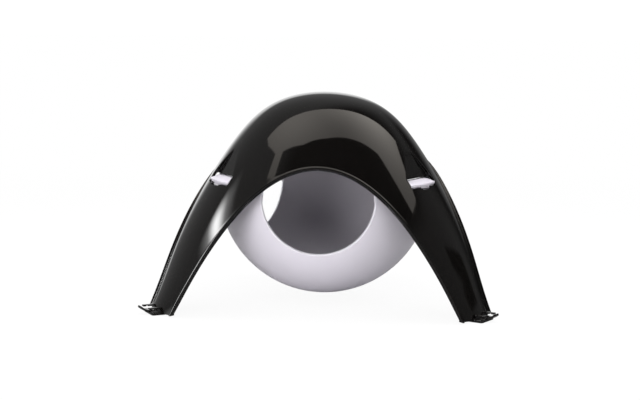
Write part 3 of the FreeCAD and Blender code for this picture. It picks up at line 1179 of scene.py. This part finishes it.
STRIP_END_FADE = (-0.18, -0.03)
CARD_HEIGHT = 1.0
CARD_STRENGTH = 3.0
CARD_TINT = (1.0, 0.94, 0.87)
CARD_GREY = 0.35
CARD_LEFT_LAMP = (-0.40, -0.05, 1.0)
CARD_LEFT_WHITE = 0.28
CARD_LEFT_FADE = (0.75, 0.0)
CARD_RIGHT_LAMP = (0.60, 0.36, 1.0)
CARD_RIGHT_WHITE = 0.50
CARD_RIGHT_FADE = (0.80, 0.0)
CARD_BACK = ((-0.86, 0.12), (0.55, 0.50), (1.02, 0.70))
CARD_RIGHT = ((1.18, 0.28), (1.32, 0.10), (1.32, -0.18))
CARD_FRONT = ((0.78, -0.12), (0.05, -0.37), (-0.30, -0.42), (-0.62, -0.34))
CARD_LEFT = ((-0.75, -0.53), (-0.86, -0.44), (-0.74, -0.28), (-0.85, -0.05))
FRAME_WIDTH_PIXELS = 640
SENSOR_WIDTH = 36.0
CAMERA_DISTANCE = 1.300
CAMERA_AZIMUTH = math.radians(4.0)
CAMERA_ELEVATION = math.radians(7.9)
CAMERA_ROLL = math.radians(-0.5)
CAMERA_FOCUS_PIXELS = 1595.0
CAMERA_AIM_ACROSS = -0.0037
CAMERA_AIM_HEIGHT = 0.0813
HOUSE_MIDDLE = (0.0, 0.0, 0.08)
OVERHEAD_PLACE = (0.20, 0.02, 1.0)
OVERHEAD_AIM = (0.20, 0.02, 0.0)
FRONT_PLACE = (0.0, -1.4, 1.4)
LOW_FILL_PLACE = (-1.0, -1.7, 0.25)


def ray_kinds(nodes):
    """1 for rays straight from the camera, for those that a gloss mirrors, and for those through
    clear stuff, in this order."""
    path = nodes.add("ShaderNodeLightPath")
    return [path.output("Is " + kind + " Ray") for kind in ("Camera", "Glossy", "Transmission")]


def backdrop(nodes, across, depth, left_fade):
    """1 towards the bright backdrop behind the house, by the sine and cosine of the way there."""
    sides = nodes.step(across, left_fade) * nodes.step(across, PATCH_RIGHT)
    return sides * nodes.step(depth, PATCH_DEPTH)


def pale_floor(nodes, looks):
    """Plain pale floor that shows white to the camera but keeps the object's shadow. The gloss sees
    it dark, but for the backdrop's light on it behind the house."""
    camera, glossy, clear = ray_kinds(nodes)
    plain, under = opaque(looks.floor_colour), opaque(looks.floor_colour, FLOOR_UNDER_GLOSS)
    matte = nodes.add("ShaderNodeBsdfDiffuse", None, {"Color": nodes.mix_colours(glossy, plain, under)})
    white = nodes.add("ShaderNodeEmission", None, {"Color": WHITE, "Strength": 1.0})
    reach = nodes.distance((0.0, 0.0, 0.0))
    x, y, _ = nodes.split(nodes.places())
    patch = backdrop(nodes, x / reach, y / reach, FLOOR_PATCH_LEFT)
    patch = patch * nodes.step(reach, FLOOR_PATCH_NEAR)
    seen = FLOOR_WHITE + (1.0 - FLOOR_WHITE) * nodes.step(reach, FLOOR_WHITE_FADE)
    mirrored = FLOOR_GLOSS_DARK + FLOOR_GLOSS_PATCH * patch
    share = seen * camera + mirrored * (glossy + clear)
    mixed = nodes.add("ShaderNodeMixShader", None, {0: share, 1: matte, 2: white})
    nodes.add("ShaderNodeOutputMaterial", None, {"Surface": mixed})


def light_card(nodes, looks):
    """Glow of the card overhead, brighter about the places of two lamps in it."""
    left = nodes.step(nodes.distance(CARD_LEFT_LAMP), CARD_LEFT_FADE)
    right = nodes.step(nodes.distance(CARD_RIGHT_LAMP), CARD_RIGHT_FADE)
    shade = nodes.tinted(CARD_GREY + CARD_LEFT_WHITE * left + CARD_RIGHT_WHITE * right, CARD_TINT)
    glow = nodes.add("ShaderNodeEmission", None, {"Color": shade, "Strength": CARD_STRENGTH})
    nodes.add("ShaderNodeOutputMaterial", None, {"Surface": glow})


def flat_sheet(name, outline, height, look):
    """Level sheet with an outline, of a look, outside the object."""
    mesh = bpy.data.meshes.new(name)
    mesh.from_pydata([(x, y, height) for x, y in outline], [], [list(range(len(outline)))])
    mesh.materials.append(material_of(look))
    sheet = linked(name, mesh)
    return sheet


def softbox(name, place, aim, size, strength):
    """Rectangular lamp that the gloss doesn't mirror. Its strength is the brightness of its face, so
    its power goes with its area."""
    data = bpy.data.lights.new(name, "AREA")
    data.shape = "RECTANGLE"
    data.size, data.size_y = size
    data.energy = strength * math.pi * size[0] * size[1]
    lamp = linked(name, data)
    lamp.location = place
    lamp.rotation_euler = (Vector(aim) - Vector(place)).to_track_quat("-Z", "Y").to_euler()
    lamp.visible_camera = False
    lamp.visible_glossy = False


def beside(nodes, direction, line):
    """How far a direction lies off the plane that is square to the line, as a sine."""
    off = nodes.dot(direction, line)
    return off.math("ABSOLUTE", off)


def mirrored_room(nodes, direction):
    """What the gloss mirrors of the room, by direction: grey walls behind and on the left, a bright
    patch of the backdrop low behind the house, a dim wall on the right with a dark gap across it, a
    strip lamp far on the left, and dark elsewhere."""
    across, depth, height = nodes.split(direction)
    left = nodes.step(LEFT_WALL_DEPTH * depth - LEFT_WALL_ACROSS * across, LEFT_WALL)
    gap = nodes.step(beside(nodes, direction, GAP_LINE), GAP_WIDTH)
    gap = gap * nodes.step(across, GAP_SIDE) * nodes.step(depth, GAP_DEPTH)
    right = nodes.step(across, RIGHT_WALL_SIDE) * nodes.step(height, RIGHT_WALL_TOP) * (1.0 - gap)
    back = nodes.step(height, BACK_WALL_HEIGHT) * nodes.step(depth, BACK_WALL_DEPTH)
    others = BACK_WALL_GREY * back + RIGHT_WALL_GREY * right
    room = ROOM_DARK + LEFT_WALL_GREY * left + others * (1.0 - left)
    patch = backdrop(nodes, across, depth, PATCH_LEFT) * nodes.step(height, PATCH_TOP)
    off_line = beside(nodes, direction, STRIP_LINE)
    core = STRIP_CORE_WHITE * nodes.step(off_line, STRIP_CORE_WIDTH)
    strip = core + STRIP_GLOW_WHITE * nodes.step(off_line, STRIP_GLOW_WIDTH)
    strip = strip * nodes.step(nodes.dot(direction, STRIP_END), STRIP_END_FADE)
    return room + PATCH_WHITE * patch + strip


def studio_world():
    """Even fill, white where the camera looks past the floor, and the room that the gloss mirrors."""
    world = bpy.data.worlds.new("studio")
    bpy.context.scene.world = world
    nodes = Nodes(world)
    camera, glossy, clear = ray_kinds(nodes)
    room = mirrored_room(nodes, nodes.add("ShaderNodeTexCoord", output="Generated"))
    strength = WORLD_FILL * (1.0 - glossy) + camera + (glossy + clear) * room
    light = nodes.add("ShaderNodeBackground", None, {"Color": WHITE, "Strength": strength})
    nodes.add("ShaderNodeOutputWorld", None, {"Surface": light})


def photo_camera():
    """Camera at the photograph's angle: its aim lies in the upright plane through the axis."""
    azimuth, elevation, roll = CAMERA_AZIMUTH, CAMERA_ELEVATION, CAMERA_ROLL
    right = Vector((math.cos(azimuth), math.sin(azimuth), 0.0))
    level = Vector((-math.sin(azimuth), math.cos(azimuth), 0.0))
    ahead = level * math.cos(elevation) - Vector((0.0, 0.0, math.sin(elevation)))
    up = right.cross(ahead)
    aim = right * CAMERA_AIM_ACROSS + Vector((0.0, 0.0, CAMERA_AIM_HEIGHT))
    rolled_right = right * math.cos(roll) - up * math.sin(roll)
    rolled_up = right * math.sin(roll) + up * math.cos(roll)
    turn = Matrix((rolled_right, rolled_up, -ahead)).transposed()
    data = bpy.data.cameras.new("photo_camera")
    data.sensor_width = SENSOR_WIDTH
    data.lens = CAMERA_FOCUS_PIXELS * SENSOR_WIDTH / FRAME_WIDTH_PIXELS
    camera = linked("photo_camera", data)
    camera.matrix_world = Matrix.Translation(aim - ahead * CAMERA_DISTANCE) @ turn.to_4x4()
    bpy.context.scene.camera = camera


# Operators

class HIDEOUT_OT_roof(bpy.types.Operator):
    """Makes the dome and legs with their arches, lips, pockets and slots"""

    bl_idname = "hideout.roof"
    bl_label = "Roof"

    def execute(self, context):
        shell = roof_shell(context.scene.hideout_roof, context.scene.hideout_bowl)
        new_piece("roof_shell", *shell, gloss_black, ROOF_BODY, "roof_plastic", ["roof"])
        return {"FINISHED"}


class HIDEOUT_OT_feet(bpy.types.Operator):
    """Makes the soles, toes, spring tongues and fingers of the feet"""

    bl_idname = "hideout.feet"
    bl_label = "Feet"

    def execute(self, context):
        scene = context.scene
        clips = foot_clips(scene.hideout_roof, scene.hideout_bowl, scene.hideout_foot)
        new_piece("foot_clips", *clips, gloss_black, ROOF_BODY, "roof_plastic", ["roof"])
        return {"FINISHED"}


class HIDEOUT_OT_bowl(bpy.types.Operator):
    """Makes the bowl with its doorways"""

    bl_idname = "hideout.bowl"
    bl_label = "Bowl"

    def execute(self, context):
        shell = bowl_shell(context.scene.hideout_bowl)
        new_piece("bowl_shell", *shell, satin_grey, BOWL_BODY, "bowl_plastic", ["bowl"])
        return {"FINISHED"}


class HIDEOUT_OT_tabs(bpy.types.Operator):
    """Makes the bowl's snap tabs"""

    bl_idname = "hideout.tabs"
    bl_label = "Snap tabs"

    def execute(self, context):
        tabs = snap_tabs(context.scene.hideout_roof, context.scene.hideout_bowl)
        new_piece("tabs", *tabs, satin_grey, BOWL_BODY, "bowl_plastic", ["snap_tabs"])
        return {"FINISHED"}


class HIDEOUT_OT_stage(bpy.types.Operator):
    """Makes the floor, the soft lamps, the fill light and the camera"""

    bl_idname = "hideout.stage"
    bl_label = "Stage"

    def execute(self, context):
        if "floor" in bpy.data.objects:
            raise RuntimeError("the stage is already in the scene")
        near, far = -FLOOR_REACH, FLOOR_REACH
        square = ((near, near), (far, near), (far, far), (near, far))
        flat_sheet("floor", square, FLOOR_LEVEL, pale_floor)
        studio_world()
        outline = CARD_BACK + CARD_RIGHT + CARD_FRONT + CARD_LEFT
        card = flat_sheet("light_card", outline, CARD_HEIGHT, light_card)
        card.visible_camera = False
        card.visible_diffuse = False
        card.visible_shadow = False
        softbox("overhead_softbox", OVERHEAD_PLACE, OVERHEAD_AIM, size=(2.20, 0.68), strength=4.3)
        softbox("front_softbox", FRONT_PLACE, HOUSE_MIDDLE, size=(1.4, 0.8), strength=3.9)
        softbox("low_fill", LOW_FILL_PLACE, HOUSE_MIDDLE, size=(1.4, 0.4), strength=11.0)
        photo_camera()
        context.scene.view_settings.view_transform = "Standard"
        return {"FINISHED"}


class HIDEOUT_PT_panel(bpy.types.Panel):
    """Lists the parts of the hideout and their sizes"""

    bl_idname = "HIDEOUT_PT_panel"
    bl_label = "Hideout"
    bl_space_type = "VIEW_3D"
    bl_region_type = "UI"
    bl_category = "Hideout"

    def draw(self, context):
        for operator in OPERATORS:
            self.layout.operator(operator.bl_idname)
        for name, group in SETTINGS.items():
            box = self.layout.box()
            for prop in group.__annotations__:
                box.prop(getattr(context.scene, name), prop)


OPERATORS = (HIDEOUT_OT_roof, HIDEOUT_OT_feet, HIDEOUT_OT_bowl, HIDEOUT_OT_tabs, HIDEOUT_OT_stage)


def register():
    for group in SETTINGS.values():
        bpy.utils.register_class(group)
    for name, group in SETTINGS.items():
        setattr(bpy.types.Scene, name, bpy.props.PointerProperty(type=group))
    for kind in OPERATORS + (HIDEOUT_PT_panel,):
        bpy.utils.register_class(kind)


def unregister():
    for kind in reversed(OPERATORS + (HIDEOUT_PT_panel,)):
        bpy.utils.unregister_class(kind)
    for name in SETTINGS:
        delattr(bpy.types.Scene, name)
    for group in SETTINGS.values():
        bpy.utils.unregister_class(group)


def main():
    register()
    bpy.ops.hideout.roof()
    bpy.ops.hideout.feet()
    bpy.ops.hideout.bowl()
    bpy.ops.hideout.tabs()
    bpy.ops.hideout.stage()


if __name__ == "__main__":
    main()
